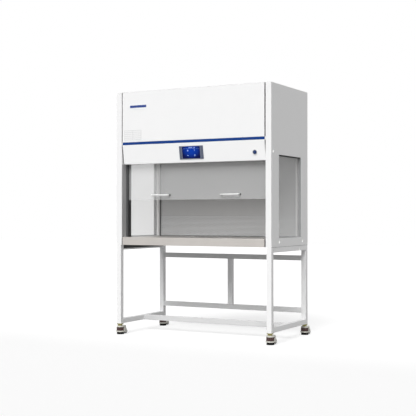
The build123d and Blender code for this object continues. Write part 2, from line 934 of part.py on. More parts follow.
with BuildPart() as lamp_holders:
    for lamp_y in lamp_rows:
        for holder_x in (-lamp_half - holder_length, lamp_half):
            with BuildSketch(Plane.YZ.offset(holder_x)):
                with Locations((lamp_y, lamp_z)):
                    Circle(holder_width / 2)
                with Locations((lamp_y, lamp_z + lamp_drop / 2)):
                    Rectangle(holder_width, lamp_drop)
            extrude(amount=holder_length)
save(lamp_holders.part, "lamp_holders")

# ======================= sash =======================
glass_half = inner - guide_web - sash_side_gap
with BuildPart() as sash_guides:
    for sign in sides.values():
        with BuildSketch(Plane.XY.offset(worktop_height)):
            guide_start = sash_y - guide_front_wall
            with Locations((sign * (inner - guide_width / 2), guide_start + guide_channel / 2)):
                Rectangle(guide_width, guide_channel)
            with Locations((sign * (inner - guide_flange / 2), guide_start + guide_depth / 2)):
                Rectangle(guide_flange, guide_depth)
            slot_center = sash_y + sash_glass_thickness / 2
            with Locations((sign * (inner - guide_web - guide_width / 2), slot_center)):
                Rectangle(guide_width, sash_glass_thickness + 2 * sash_play, mode=Mode.SUBTRACT)
        extrude(amount=guide_top - worktop_height)
save(sash_guides.part, "sash_guides")

with BuildPart() as sash_glass:
    with BuildSketch(Plane.XZ.offset(-sash_y)):
        with Locations((0, sash_rest + sash_height / 2)):
            Rectangle(2 * glass_half, sash_height)
    extrude(amount=-sash_glass_thickness)
    chamfer(sash_glass.edges().filter_by(Axis.X).group_by(Axis.Z)[0], length=sash_edge)
save(sash_glass.part, "sash_glass")

handle_z = sash_rest + handle_rise
with BuildPart() as sash_handles:
    with BuildSketch(Plane.XY.offset(handle_z - handle_height / 2)):
        for sign in sides.values():
            with Locations((sign * handle_spacing / 2, sash_y - handle_reach / 2)):
                Rectangle(handle_length, handle_reach)
    extrude(amount=handle_height)
    bar_ends = sash_handles.edges().filter_by(Axis.Z).group_by(Axis.Y)[0]
    fillet(bar_ends, radius=handle_round)
    with BuildSketch(Plane.XY.offset(handle_z - handle_height / 2)):
        for sign in sides.values():
            with Locations((sign * handle_spacing / 2, sash_y - (handle_reach - handle_bar) / 2)):
                Rectangle(handle_length - 2 * handle_leg, handle_reach - handle_bar)
    extrude(amount=handle_height, mode=Mode.SUBTRACT)
save(sash_handles.part, "sash_handles")
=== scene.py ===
import json
import math

import bmesh
import bpy
from mathutils import Matrix, Vector


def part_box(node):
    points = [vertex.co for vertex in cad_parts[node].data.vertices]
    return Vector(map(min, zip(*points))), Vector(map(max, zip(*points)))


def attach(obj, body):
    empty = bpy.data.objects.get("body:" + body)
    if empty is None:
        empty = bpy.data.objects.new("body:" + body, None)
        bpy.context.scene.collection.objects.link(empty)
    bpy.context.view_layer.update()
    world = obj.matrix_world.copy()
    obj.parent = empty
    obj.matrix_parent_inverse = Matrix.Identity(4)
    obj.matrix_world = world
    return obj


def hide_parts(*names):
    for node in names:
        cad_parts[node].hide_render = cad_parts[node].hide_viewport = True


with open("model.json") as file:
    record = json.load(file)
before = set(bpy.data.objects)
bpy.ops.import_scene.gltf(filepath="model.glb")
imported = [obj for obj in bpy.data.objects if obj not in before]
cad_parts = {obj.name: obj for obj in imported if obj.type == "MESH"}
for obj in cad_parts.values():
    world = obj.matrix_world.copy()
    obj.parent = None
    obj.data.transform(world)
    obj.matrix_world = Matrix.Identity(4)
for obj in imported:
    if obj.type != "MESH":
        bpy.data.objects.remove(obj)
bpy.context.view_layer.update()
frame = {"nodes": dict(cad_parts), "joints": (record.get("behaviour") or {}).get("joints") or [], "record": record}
nodes = frame["nodes"]
print("frame loaded with", len(nodes), "nodes")

camera = {
    "place": (3.3492, -6.3041, 0.9113),
    "turnDeg": 28.295,  # anticlockwise from looking along +Y
    "tiltDeg": 0.447,
    "lensMm": 80.42,
    "sensorMm": 36.0,
    "farEnd": 60.0,
}
cameraData = bpy.data.cameras.new("viewCamera")
cameraData.lens = camera["lensMm"]
cameraData.sensor_width = camera["sensorMm"]
cameraData.clip_end = camera["farEnd"]
cameraObject = bpy.data.objects.new("viewCamera", cameraData)
cameraObject.location = camera["place"]
cameraObject.rotation_euler = (math.radians(90 + camera["tiltDeg"]), 0.0, math.radians(camera["turnDeg"]))
bpy.context.scene.collection.objects.link(cameraObject)
bpy.context.scene.camera = cameraObject
bpy.context.scene.view_settings.view_transform = "Standard"
print("camera set")

light = {
    "overhead": 0.12,
    "horizon": 0.42,  # added to overhead, full at the horizon
    "sunStrength": 3.33,
    "sunTurnDeg": 6.0,  # from straight in front, towards the right
    "sunHeightDeg": 45.0,
    "sunSoftDeg": 45.0,
}


def mathNode(tree, operation, first, second=None):
    node = tree.nodes.new("ShaderNodeMath")
    node.operation = operation
    for index, source in enumerate((first, second)):
        if source is None:
            continue
        if isinstance(source, (int, float)):
            node.inputs[index].default_value = source
        else:
            tree.links.new(source, node.inputs[index])
    return node.outputs[0]


def sumOfSquares(tree, first, second):
    squares = [mathNode(tree, "MULTIPLY", source, source) for source in (first, second)]
    return mathNode(tree, "ADD", *squares)


# 1 for camera, glossy and transmission rays, 0 for the rays that carry soft light
def seenRays(tree):
    path = tree.nodes.new("ShaderNodeLightPath")
    either = mathNode(tree, "MAXIMUM", path.outputs["Is Camera Ray"], path.outputs["Is Glossy Ray"])
    return mathNode(tree, "MAXIMUM", either, path.outputs["Is Transmission Ray"])


def buildWorld():
    world = bpy.data.worlds.new("studio")
    bpy.context.scene.world = world
    world.use_nodes = True
    tree = world.node_tree
    tree.nodes.clear()
    worldOut = tree.nodes.new("ShaderNodeOutputWorld")
    ambient = tree.nodes.new("ShaderNodeBackground")
    backdrop = tree.nodes.new("ShaderNodeBackground")
    for background in (ambient, backdrop):
        background.inputs["Color"].default_value = (1.0, 1.0, 1.0, 1.0)
    backdrop.inputs["Strength"].default_value = 1.0
    # the room glows most at eye height and least straight above
    place = tree.nodes.new("ShaderNodeTexCoord")
    parts = tree.nodes.new("ShaderNodeSeparateXYZ")
    tree.links.new(place.outputs["Generated"], parts.inputs[0])
    steepness = mathNode(tree, "MULTIPLY", parts.outputs["Z"], parts.outputs["Z"])
    level = mathNode(tree, "SUBTRACT", 1.0, steepness)
    glow = mathNode(tree, "MULTIPLY", level, light["horizon"])
    tree.links.new(mathNode(tree, "ADD", glow, light["overhead"]), ambient.inputs["Strength"])
    mix = tree.nodes.new("ShaderNodeMixShader")
    tree.links.new(seenRays(tree), mix.inputs["Fac"])
    tree.links.new(ambient.outputs[0], mix.inputs[1])
    tree.links.new(backdrop.outputs[0], mix.inputs[2])
    tree.links.new(mix.outputs[0], worldOut.inputs["Surface"])


buildWorld()
sunData = bpy.data.lights.new("softSun", "SUN")
sunData.energy = light["sunStrength"]
sunData.angle = math.radians(light["sunSoftDeg"])
sunObject = bpy.data.objects.new("softSun", sunData)
sunObject.rotation_euler = (math.radians(90 - light["sunHeightDeg"]), 0.0, math.radians(light["sunTurnDeg"]))
bpy.context.scene.collection.objects.link(sunObject)
print("lights set")


def startGroup(name, inputs, outputs):
    group = bpy.data.node_groups.new(name, "ShaderNodeTree")
    for socketName, kind, value in inputs:
        socket = group.interface.new_socket(name=socketName, in_out="INPUT", socket_type="NodeSocket" + kind)
        socket.default_value = value
    for socketName, kind in outputs:
        group.interface.new_socket(name=socketName, in_out="OUTPUT", socket_type="NodeSocket" + kind)
    return group, group.nodes.new("NodeGroupInput"), group.nodes.new("NodeGroupOutput")


# slow variation of a colour and of a roughness, as handling and cleaning leave it
def buildMottle():
    group, start, end = startGroup(
        "mottle",
        [
            ("Color", "Color", (0.8, 0.8, 0.8, 1.0)), ("Shade", "Float", 0.04), ("Rough", "Float", 0.4),
            ("Spread", "Float", 0.1), ("Scale", "Float", 9.0),
        ],
        [("Color", "Color"), ("Roughness", "Float")],
    )
    place = group.nodes.new("ShaderNodeTexCoord")
    noise = group.nodes.new("ShaderNodeTexNoise")
    noise.inputs["Detail"].default_value = 5.0
    noise.inputs["Roughness"].default_value = 0.6
    group.links.new(place.outputs["Object"], noise.inputs["Vector"])
    group.links.new(start.outputs["Scale"], noise.inputs["Scale"])
    centred = mathNode(group, "SUBTRACT", noise.outputs["Fac"], 0.5)
    gain = mathNode(group, "ADD", mathNode(group, "MULTIPLY", centred, start.outputs["Shade"]), 1.0)
    tint = group.nodes.new("ShaderNodeVectorMath")
    tint.operation = "SCALE"
    group.links.new(start.outputs["Color"], tint.inputs[0])
    group.links.new(gain, tint.inputs["Scale"])
    group.links.new(tint.outputs["Vector"], end.inputs["Color"])
    spread = mathNode(group, "MULTIPLY", centred, start.outputs["Spread"])
    group.links.new(mathNode(group, "ADD", spread, start.outputs["Rough"]), end.inputs["Roughness"])
    return group


# fine height pattern that can be stretched: powder coat, brushing or moulded texture
def buildGrain():
    group, start, end = startGroup(
        "grain",
        [("Scale", "Float", 600.0)] + [("Along " + axis, "Float", 1.0) for axis in "XYZ"],
        [("Height", "Float")],
    )
    place = group.nodes.new("ShaderNodeTexCoord")
    stretch = group.nodes.new("ShaderNodeCombineXYZ")
    for axis in "XYZ":
        group.links.new(start.outputs["Along " + axis], stretch.inputs[axis])
    scaled = group.nodes.new("ShaderNodeVectorMath")
    scaled.operation = "MULTIPLY"
    group.links.new(place.outputs["Object"], scaled.inputs[0])
    group.links.new(stretch.outputs[0], scaled.inputs[1])
    noise = group.nodes.new("ShaderNodeTexNoise")
    noise.inputs["Detail"].default_value = 3.0
    group.links.new(scaled.outputs["Vector"], noise.inputs["Vector"])
    group.links.new(start.outputs["Scale"], noise.inputs["Scale"])
    group.links.new(noise.outputs["Fac"], end.inputs["Height"])
    return group


# mask of round holes in staggered rows, upright on X and Z or flat on X and Y
def buildHoles():
    group, start, end = startGroup(
        "holes",
        [("Pitch", "Float", 0.006), ("Radius", "Float", 0.0018), ("Flat", "Float", 0.0)],
        [("Mask", "Float")],
    )
    place = group.nodes.new("ShaderNodeTexCoord")
    parts = group.nodes.new("ShaderNodeSeparateXYZ")
    group.links.new(place.outputs["Object"], parts.inputs[0])
    flatShare = mathNode(group, "MULTIPLY", parts.outputs["Y"], start.outputs["Flat"])
    upright = mathNode(group, "SUBTRACT", 1.0, start.outputs["Flat"])
    rows = mathNode(group, "ADD", flatShare, mathNode(group, "MULTIPLY", parts.outputs["Z"], upright))
    rowStep = math.sqrt(3.0)
    across = mathNode(group, "DIVIDE", parts.outputs["X"], start.outputs["Pitch"])
    down = mathNode(group, "DIVIDE", rows, mathNode(group, "MULTIPLY", start.outputs["Pitch"], rowStep))
    masks = []
    for shift in (0.0, 0.5):
        u = mathNode(group, "SUBTRACT", mathNode(group, "FRACT", mathNode(group, "ADD", across, shift)), 0.5)
        v = mathNode(group, "SUBTRACT", mathNode(group, "FRACT", mathNode(group, "ADD", down, shift)), 0.5)
        v = mathNode(group, "MULTIPLY", v, rowStep)
        distance = mathNode(group, "SQRT", sumOfSquares(group, u, v))
        reach = mathNode(group, "DIVIDE", start.outputs["Radius"], start.outputs["Pitch"])
        masks.append(mathNode(group, "LESS_THAN", distance, reach))
    group.links.new(mathNode(group, "MAXIMUM", masks[0], masks[1]), end.inputs["Mask"])
    return group


# 1 in the middle of an upright rectangle, 0 at its rim
def buildSpot():
    group, start, end = startGroup(
        "spot",
        [("Middle Z", "Float", 1.37), ("Half Width", "Float", 0.09), ("Half Height", "Float", 0.05)],
        [("Mask", "Float")],
    )
    place = group.nodes.new("ShaderNodeTexCoord")
    parts = group.nodes.new("ShaderNodeSeparateXYZ")
    group.links.new(place.outputs["Object"], parts.inputs[0])
    across = mathNode(group, "DIVIDE", parts.outputs["X"], start.outputs["Half Width"])
    rise = mathNode(group, "SUBTRACT", parts.outputs["Z"], start.outputs["Middle Z"])
    down = mathNode(group, "DIVIDE", rise, start.outputs["Half Height"])
    fade = mathNode(group, "SUBTRACT", 1.0, sumOfSquares(group, across, down))
    fade = mathNode(group, "MAXIMUM", fade, 0.0)
    group.links.new(fade, end.inputs["Mask"])
    return group


mottleGroup = buildMottle()
grainGroup = buildGrain()
holesGroup = buildHoles()
spotGroup = buildSpot()


def placeGroup(tree, group, **values):
    node = tree.nodes.new("ShaderNodeGroup")
    node.node_tree = group
    for name, value in values.items():
        node.inputs[name.replace("_", " ")].default_value = value
    return node


def mixColor(tree, factor, first, second, blend="MIX"):
    node = tree.nodes.new("ShaderNodeMix")
    node.data_type = "RGBA"
    node.blend_type = blend
    for socket, source in (("Factor", factor), ("A", first), ("B", second)):
        if isinstance(source, (int, float)):
            node.inputs[socket].default_value = source
        elif isinstance(source, tuple):
            node.inputs[socket].default_value = (*source, 1.0)
        else:
            tree.links.new(source, node.inputs[socket])
    return node.outputs["Result"]


# how dark the streaks of brushed steel go, and the noise levels they run between
streakRamp = {"from": 0.3, "to": 0.7, "darkest": 0.55}


def makeFinish(name, look):
    material = bpy.data.materials.new(name)
    material.use_nodes = True
    tree = material.node_tree
    shader = tree.nodes["Principled BSDF"]
    mottle = placeGroup(
        tree, mottleGroup,
        Color=(*look["color"], 1.0), Shade=look.get("shade", 0.04), Rough=look["rough"],
        Spread=look.get("spread", 0.1), Scale=look.get("mottle", 9.0),
    )
    tree.links.new(mottle.outputs["Roughness"], shader.inputs["Roughness"])
    colorSource = mottle.outputs["Color"]
    if "holes" in look:
        pitch, radius, flat, inside = look["holes"]
        holes = placeGroup(tree, holesGroup, Pitch=pitch, Radius=radius, Flat=flat)
        colorSource = mixColor(tree, holes.outputs["Mask"], colorSource, inside)
    if "spot" in look:
        middleZ, halfWidth, halfHeight, bright = look["spot"]
        spot = placeGroup(tree, spotGroup, Middle_Z=middleZ, Half_Width=halfWidth, Half_Height=halfHeight)
        colorSource = mixColor(tree, spot.outputs["Mask"], colorSource, bright)
    if "streak" in look:
        streak = placeGroup(tree, grainGroup, Scale=look["streak"][0], **look["streakAlong"])
        ramp = tree.nodes.new("ShaderNodeMapRange")
        ramp.inputs["From Min"].default_value = streakRamp["from"]
        ramp.inputs["From Max"].default_value = streakRamp["to"]
        ramp.inputs["To Min"].default_value = streakRamp["darkest"]
        tree.links.new(streak.outputs["Height"], ramp.inputs["Value"])
        strength = look["streak"][1]
        colorSource = mixColor(tree, strength, colorSource, ramp.outputs["Result"], blend="MULTIPLY")
    tree.links.new(colorSource, shader.inputs["Base Color"])
    shader.inputs["Metallic"].default_value = look.get("metal", 0.0)
    if look.get("coat"):
        shader.inputs["Coat Weight"].default_value = look["coat"]
        shader.inputs["Coat Roughness"].default_value = look.get("coatRough", 0.12)
    if "specular" in look:
        shader.inputs["Specular IOR Level"].default_value = look["specular"]
    if "alpha" in look:
        shader.inputs["Alpha"].default_value = look["alpha"]
    if "glow" in look:
        tree.links.new(colorSource, shader.inputs["Emission Color"])
        shader.inputs["Emission Strength"].default_value = look["glow"]
    if "grain" in look:
        scale, depth = look["grain"]
        grain = placeGroup(tree, grainGroup, Scale=scale, **look.get("grainAlong", {}))
        bump = tree.nodes.new("ShaderNodeBump")
        bump.inputs["Strength"].default_value = 1.0
        bump.inputs["Distance"].default_value = depth
        tree.links.new(grain.outputs["Height"], bump.inputs["Height"])
        tree.links.new(bump.outputs["Normal"], shader.inputs["Normal"])
    return material


# grain is (scale, depth), streak is (scale, strength), holes is (pitch, radius, 1 if flat, colour inside)
# and spot is (middle height, half width, half height, colour in the middle)
finishes = {
    "cabinet_paint": {"color": (0.80, 0.80, 0.80), "rough": 0.42, "grain": (900.0, 0.00004), "shade": 0.03},
    # lighter than the cabinet's paint: painted light on the control panel, which leans to face the floor
    "panel_painted_light": {"color": (0.89, 0.89, 0.89), "rough": 0.42, "grain": (900.0, 0.00004), "shade": 0.03},
    "stand_paint": {"color": (0.81, 0.81, 0.81), "rough": 0.40, "grain": (900.0, 0.00005), "shade": 0.04},
    # darker than the stand's paint: painted shade on the rear rails and the foot cross rail, under the cabinet
    "rail_painted_shade": {"color": (0.65, 0.65, 0.65), "rough": 0.40, "grain": (900.0, 0.00005), "shade": 0.04},
    "stainless": {
        "color": (0.60, 0.57, 0.54), "rough": 0.34, "metal": 1.0, "spread": 0.12,
        "grain": (1500.0, 0.00003), "grainAlong": {"Along_X": 0.02},
        "streak": (900.0, 0.25), "streakAlong": {"Along_X": 0.015},
    },
    "clear_glass": {
        "color": (0.765, 0.77, 0.77), "rough": 0.05, "alpha": 0.22, "shade": 0.01, "spread": 0.02,
    },
    "strip_blue": {
        "color": (0.002, 0.038, 0.20), "rough": 0.42, "specular": 0.22, "grain": (1200.0, 0.00002),
    },
    "dark_aluminium": {
        "color": (0.085, 0.086, 0.088), "rough": 0.5, "metal": 0.15, "specular": 0.3,
        "grain": (1400.0, 0.00003), "grainAlong": {"Along_Z": 0.02},
    },
    "handle_paint": {"color": (0.86, 0.86, 0.86), "rough": 0.32, "grain": (900.0, 0.00003)},
    "bezel_plastic": {
        "color": (0.095, 0.11, 0.16), "rough": 0.5, "specular": 0.4, "grain": (1600.0, 0.00005),
    },
    "display": {
        "color": (0.0005, 0.003, 0.045), "rough": 0.12, "specular": 0.08, "glow": 0.45,
        "shade": 0.3, "mottle": 40.0, "spot": (1.388, 0.080, 0.058, (0.0005, 0.030, 0.28)),
    },
    "button_blue": {
        "color": (0.003, 0.022, 0.10), "rough": 0.35, "specular": 0.3, "grain": (1200.0, 0.00002),
    },
    "diffuser_white": {
        "color": (0.80, 0.80, 0.80), "rough": 0.45, "holes": (0.008, 0.0022, 1.0, (0.10, 0.10, 0.10)),
    },
    "filter_media": {"color": (0.82, 0.82, 0.77), "rough": 0.9, "grain": (700.0, 0.0002), "shade": 0.1},
    "galvanised": {
        "color": (0.55, 0.57, 0.58), "rough": 0.42, "metal": 0.9,
        "shade": 0.35, "mottle": 60.0, "spread": 0.25,
    },
    "motor_paint": {"color": (0.05, 0.053, 0.056), "rough": 0.5, "grain": (900.0, 0.00006)},
    "lamp_white": {"color": (0.86, 0.86, 0.83), "rough": 0.18, "coat": 0.3, "shade": 0.02},
    "yellow_zinc": {"color": (0.24, 0.22, 0.08), "rough": 0.38, "metal": 0.7, "shade": 0.7, "mottle": 120.0},
    "caster_ivory": {"color": (0.54, 0.53, 0.48), "rough": 0.42, "grain": (1100.0, 0.00006), "shade": 0.08},
    "dial_brown": {
        "color": (0.050, 0.022, 0.020), "rough": 0.5, "grain": (1400.0, 0.00006),
        "shade": 0.2, "mottle": 60.0,
    },
    "pad_rubber": {
        "color": (0.008, 0.008, 0.008), "rough": 0.8, "specular": 0.2,
        "grain": (1500.0, 0.0001), "shade": 0.4, "mottle": 80.0,
    },
    "wheel_nylon": {"color": (0.014, 0.014, 0.015), "rough": 0.5, "grain": (1200.0, 0.00006)},
    "grille_paint": {
        "color": (0.645, 0.65, 0.655), "rough": 0.45, "holes": (0.0055, 0.00155, 0.0, (0.07, 0.07, 0.07)),
        "shade": 0.06,
    },
    "bezel_edge": {"color": (0.26, 0.29, 0.36), "rough": 0.4, "grain": (1600.0, 0.00002)},
    "return_paint": {
        "color": (0.71, 0.72, 0.73), "rough": 0.45, "holes": (0.011, 0.0032, 0.0, (0.07, 0.07, 0.07)),
        "shade": 0.12, "mottle": 160.0,
    },
    # grey that stands for painted shade on the inner walls in front of the guides
    "painted_shade_grey": {"color": (0.44, 0.44, 0.445), "rough": 0.55, "grain": (900.0, 0.00005)},
    "seal_grey": {"color": (0.34, 0.345, 0.35), "rough": 0.7, "grain": (900.0, 0.0001)},
    # black for the real seals and sleeves, and for the strips of painted shade
    "black_seal_and_shade": {"color": (0.016, 0.016, 0.016), "rough": 0.75, "grain": (1200.0, 0.0001), "shade": 0.3},
    "screw_steel": {"color": (0.90, 0.90, 0.88), "rough": 0.16, "metal": 1.0, "shade": 0.1},
    "icon_light": {"color": (0.40, 0.58, 0.88), "rough": 0.3, "glow": 0.45, "shade": 0.05},
    "mark_blue": {"color": (0.06, 0.12, 0.30), "rough": 0.3, "shade": 0.05},
    "plate_white": {"color": (0.80, 0.81, 0.82), "rough": 0.3, "coat": 0.3, "grain": (1500.0, 0.00001)},
    "card_white": {"color": (0.77, 0.77, 0.77), "rough": 0.5, "grain": (1500.0, 0.00001)},
    "print_blue": {"color": (0.015, 0.045, 0.22), "rough": 0.4, "shade": 0.1},
    "print_grey": {"color": (0.42, 0.42, 0.43), "rough": 0.5, "shade": 0.1},
    "socket_black": {"color": (0.02, 0.02, 0.02), "rough": 0.45, "grain": (1500.0, 0.00005)},
    "cap_aluminium": {"color": (0.70, 0.70, 0.71), "rough": 0.3, "metal": 1.0, "grain": (1500.0, 0.00002)},
}
materials = {name: makeFinish(name, look) for name, look in finishes.items()}
print("finishes made:", len(materials))

slotOf = {entry["node"]: entry["material_slot"] for entry in frame["record"]["subparts"]}
# nodes that look different from the rest of their slot
ownFinish = {
    # the control panel's lighter paint is painted light
    "back_grille": "grille_paint", "button_ring": "cap_aluminium", "control_panel": "panel_painted_light",
    # the rails' darker paint is painted shade
    "foot_cross_rail": "rail_painted_shade", "back_middle_rail": "rail_painted_shade", "back_top_rail": "rail_painted_shade",
}
for name, node in nodes.items():
    finish = materials[ownFinish.get(name, slotOf[name])]
    if not node.material_slots:
        node.data.materials.append(finish)
    for slot in node.material_slots:
        slot.material = finish
print("finishes on the frame")


def addBox(bm, low, high, edge=0.0, segments=2):
    low, high = Vector(low), Vector(high)
    matrix = Matrix.Translation((low + high) / 2) @ Matrix.Diagonal((*(high - low), 1.0))
    made = bmesh.ops.create_cube(bm, size=1.0, matrix=matrix)
    if edge:
        edges = dict.fromkeys(e for v in made["verts"] for e in v.link_edges)  # each once, in order
        bmesh.ops.bevel(
            bm, geom=list(edges), offset=edge, segments=segments, profile=0.5,
            affect="EDGES", material=-1, clamp_overlap=True,
        )


# four thin bars round the rim of a rectangle on local X and Y
def addRim(bm, width, height, band, low, high, edge=0.0, middle=(0.0, 0.0)):
    x, y = middle
    for sign in (-1, 1):
        bottom, top = sorted((y + sign * height / 2, y + sign * (height / 2 - band)))
        addBox(bm, (x - width / 2, bottom, low), (x + width / 2, top, high), edge=edge)
        left, right = sorted((x + sign * width / 2, x + sign * (width / 2 - band)))
        addBox(bm, (left, y - height / 2 + band, low), (right, y + height / 2 - band, high), edge=edge)


# moves the vertices that were added since before was taken
def moveNew(bm, before, matrix):
    bmesh.ops.transform(bm, matrix=matrix, verts=[v for v in bm.verts if v not in before])


# spins (radius, height) points about the local Z of place
def turned(bm, profile, place, steps=32):
    before = set(bm.verts)
    points = [bm.verts.new((radius, 0.0, rise)) for radius, rise in profile]
    edges = [bm.edges.new(pair) for pair in zip(points, points[1:])]
    bmesh.ops.spin(
        bm, geom=points + edges, cent=(0, 0, 0), axis=(0, 0, 1), dvec=(0, 0, 0),
        angle=math.tau, steps=steps, use_merge=True, use_normal_flip=False, use_duplicate=False,
    )
    moveNew(bm, before, place)


# matrix that puts local Z along axis at center
def facing(center, axis):
    return Matrix.Translation(Vector(center)) @ Vector(axis).to_track_quat("Z", "Y").to_matrix().to_4x4()


mergeDistance = 0.000001
smoothUpTo = {"flat": 20.0, "turned": 40.0, "bent": 50.0}  # degrees between faces that shade as one


def finishPiece(bm, name, finish, body, angle=smoothUpTo["flat"], place=None):
    if place is not None:
        bmesh.ops.transform(bm, matrix=place, verts=bm.verts)
    bmesh.ops.remove_doubles(bm, verts=bm.verts, dist=mergeDistance)
    bmesh.ops.recalc_face_normals(bm, faces=bm.faces)
    mesh = bpy.data.meshes.new(name)
    bm.to_mesh(mesh)
    bm.free()
    for polygon in mesh.polygons:
        polygon.use_smooth = True
    mesh.set_sharp_from_angle(angle=math.radians(angle))
    mesh.materials.append(materials[finish])
    piece = bpy.data.objects.new(name, mesh)
    bpy.context.scene.collection.objects.link(piece)
    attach(piece, body)
    return piece


# shapes of the heads, as shares of the radius and of the height
screwShape = ((0.0, 0.35), (0.42, 0.35), (0.46, 1.0), (0.72, 0.93), (0.93, 0.62), (1.0, 0.0), (0.0, 0.0))
domeShape = (
    (0.0, 1.0), (0.35, 0.95), (0.62, 0.72), (0.76, 0.36), (0.78, 0.3), (1.0, 0.27), (1.0, 0.0), (0.0, 0.0),
)


# pan head with a socket in it
def addScrew(bm, center, axis, radius, height):
    profile = [(radius * across, height * up) for across, up in screwShape]
    turned(bm, profile, facing(center, axis), steps=14)


# domed cap nut on a washer
def addDome(bm, center, axis, radius, height):
    profile = [(radius * across, height * up) for across, up in domeShape]
    turned(bm, profile, facing(center, axis), steps=18)


def spread(low, high, count):
    return [low + (high - low) * step / (count - 1) for step in range(count)]


# faces of the cabinet that the pieces below are placed from
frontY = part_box("side_wall_right")[0].y
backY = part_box("side_wall_right")[1].y
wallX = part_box("side_wall_right")[1].x
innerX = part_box("side_wall_right")[0].x
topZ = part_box("top_cover")[1].z
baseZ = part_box("side_wall_right")[0].z
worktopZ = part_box("work_surface")[1].z
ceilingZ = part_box("ceiling_diffuser")[0].z
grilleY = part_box("back_grille")[0].y
sides = (-1, 1)

screws = {
    # radius, distance behind the front, height above the floor
    "side": ((0.0090, 0.035, 1.363), (0.0090, 0.137, 0.719), (0.0090, 0.566, 0.718), (0.0070, 0.510, 0.656)),
    "sideHeight": 0.0026,
    "coverRadius": 0.004, "coverHeight": 0.0016, "coverEdge": 0.012, "coverCount": 7, "flangeDrop": 0.001,
    "topHeight": 0.0004, "topCount": 6, "topSideCount": 4, "topSideEnd": 0.11, "topSideEdge": 0.02,
}
sideScrews = bmesh.new()
for sign in sides:
    for radius, setback, z in screws["side"]:
        addDome(sideScrews, (sign * wallX, frontY + setback, z), (sign, 0, 0), radius, screws["sideHeight"])
sideScrewHeads = finishPiece(
    sideScrews, "sideScrewHeads", "screw_steel", "cabinet", angle=smoothUpTo["turned"],
)
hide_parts("side_screws")

coverScrews = bmesh.new()


def addBackScrew(x, z):
    addScrew(coverScrews, (x, backY, z), (0, 1, 0), screws["coverRadius"], screws["coverHeight"])


def addTopScrew(x, y):
    addScrew(coverScrews, (x, y, topZ), (0, 0, 1), screws["coverRadius"], screws["topHeight"])


rimX = innerX - screws["coverEdge"]
lowRow, highRow = baseZ + screws["coverEdge"], topZ - screws["coverEdge"] - screws["flangeDrop"]
for x in spread(-rimX, rimX, screws["coverCount"]):
    for z in (lowRow, highRow):
        addBackScrew(x, z)
for z in spread(lowRow, highRow, screws["coverCount"])[1:-1]:
    for x in (-rimX, rimX):
        addBackScrew(x, z)
for x in spread(-innerX, innerX, screws["topCount"]):
    for y in (frontY + screws["coverEdge"], backY - screws["coverEdge"]):
        addTopScrew(x, y)
for y in spread(frontY + screws["topSideEnd"], backY - screws["topSideEnd"], screws["topSideCount"]):
    for x in (screws["topSideEdge"] - wallX, wallX - screws["topSideEdge"]):
        addTopScrew(x, y)
finishPiece(
    coverScrews, "coverScrews", "cap_aluminium", "cabinet", angle=smoothUpTo["turned"],
)
print("screws made")

# weld bead round both ends of each rail of the stand
weld = {"proud": 0.0007, "thickness": 0.0016, "edge": 0.0006}
# the axis that each rail runs along
rails = {
    "top_rail_left": 1, "top_rail_right": 1, "foot_side_rail_left": 1, "foot_side_rail_right": 1,
    "back_top_rail": 0, "back_middle_rail": 0, "foot_cross_rail": 0, "back_strut": 2,
}
weldBeads = bmesh.new()
for rail, axis in rails.items():
    low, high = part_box(rail)
    for end, inwards in ((low[axis], 1), (high[axis], -1)):
        beadLow = Vector(low) - Vector((weld["proud"],) * 3)
        beadHigh = Vector(high) + Vector((weld["proud"],) * 3)
        beadLow[axis] = min(end, end + inwards * weld["thickness"])
        beadHigh[axis] = max(end, end + inwards * weld["thickness"])
        addBox(weldBeads, beadLow, beadHigh, edge=weld["edge"])
finishPiece(weldBeads, "standWelds", "stand_paint", "cabinet")
print("welds made")

# rubber round the side panes, outside and inside
paneSeal = {"band": 0.0034, "rise": 0.0022, "edge": 0.0009}
paneLow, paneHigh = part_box("side_windows")
paneHalf = paneHigh.x - (innerX + wallX) / 2
paneSeals = bmesh.new()
for sign in sides:
    for faceSign in (-1, 1):
        before = set(paneSeals.verts)
        addRim(
            paneSeals, paneHigh.y - paneLow.y, paneHigh.z - paneLow.z, paneSeal["band"],
            0.0, paneSeal["rise"], edge=paneSeal["edge"],
        )
        faceX = sign * (innerX + wallX) / 2 + faceSign * paneHalf
        middle = Vector((faceX, (paneLow.y + paneHigh.y) / 2, (paneLow.z + paneHigh.z) / 2))
        turn = Matrix(((0, 0, faceSign), (1, 0, 0), (0, 1, 0))).to_4x4()
        moveNew(paneSeals, before, Matrix.Translation(middle) @ turn)
finishPiece(paneSeals, "paneSeals", "seal_grey", "cabinet")

# lining of the recess outside each pane, with a deeper black strip of painted shade along its top
lining = {
    "thickness": 0.002, "setIn": 0.001, "edge": 0.0004, "paneGap": 0.0003,
    "top": 0.008, "topSetIn": 0.006, "topEdge": 0.001,
}
recessLining = bmesh.new()
topShadeStrips = bmesh.new()
liningTop = paneHigh.z - lining["top"]
thick = lining["thickness"]
for sign in sides:
    paneX = sign * (paneHigh.x + lining["paneGap"])
    near, far = sorted((paneX, sign * (wallX - lining["setIn"])))
    for low, high in (
        ((near, paneLow.y, paneLow.z), (far, paneLow.y + thick, liningTop)),
        ((near, paneHigh.y - thick, paneLow.z), (far, paneHigh.y, liningTop)),
        ((near, paneLow.y + thick, paneLow.z), (far, paneHigh.y - thick, paneLow.z + thick)),
    ):
        addBox(recessLining, low, high, edge=lining["edge"])
    # black strip of painted shade along the top of the recess
    near, far = sorted((paneX, sign * (wallX - lining["topSetIn"])))
    addBox(topShadeStrips, (near, paneLow.y, liningTop), (far, paneHigh.y, paneHigh.z), edge=lining["topEdge"])
finishPiece(recessLining, "recessLining", "seal_grey", "cabinet")
finishPiece(topShadeStrips, "topShadeStrips", "black_seal_and_shade", "cabinet")

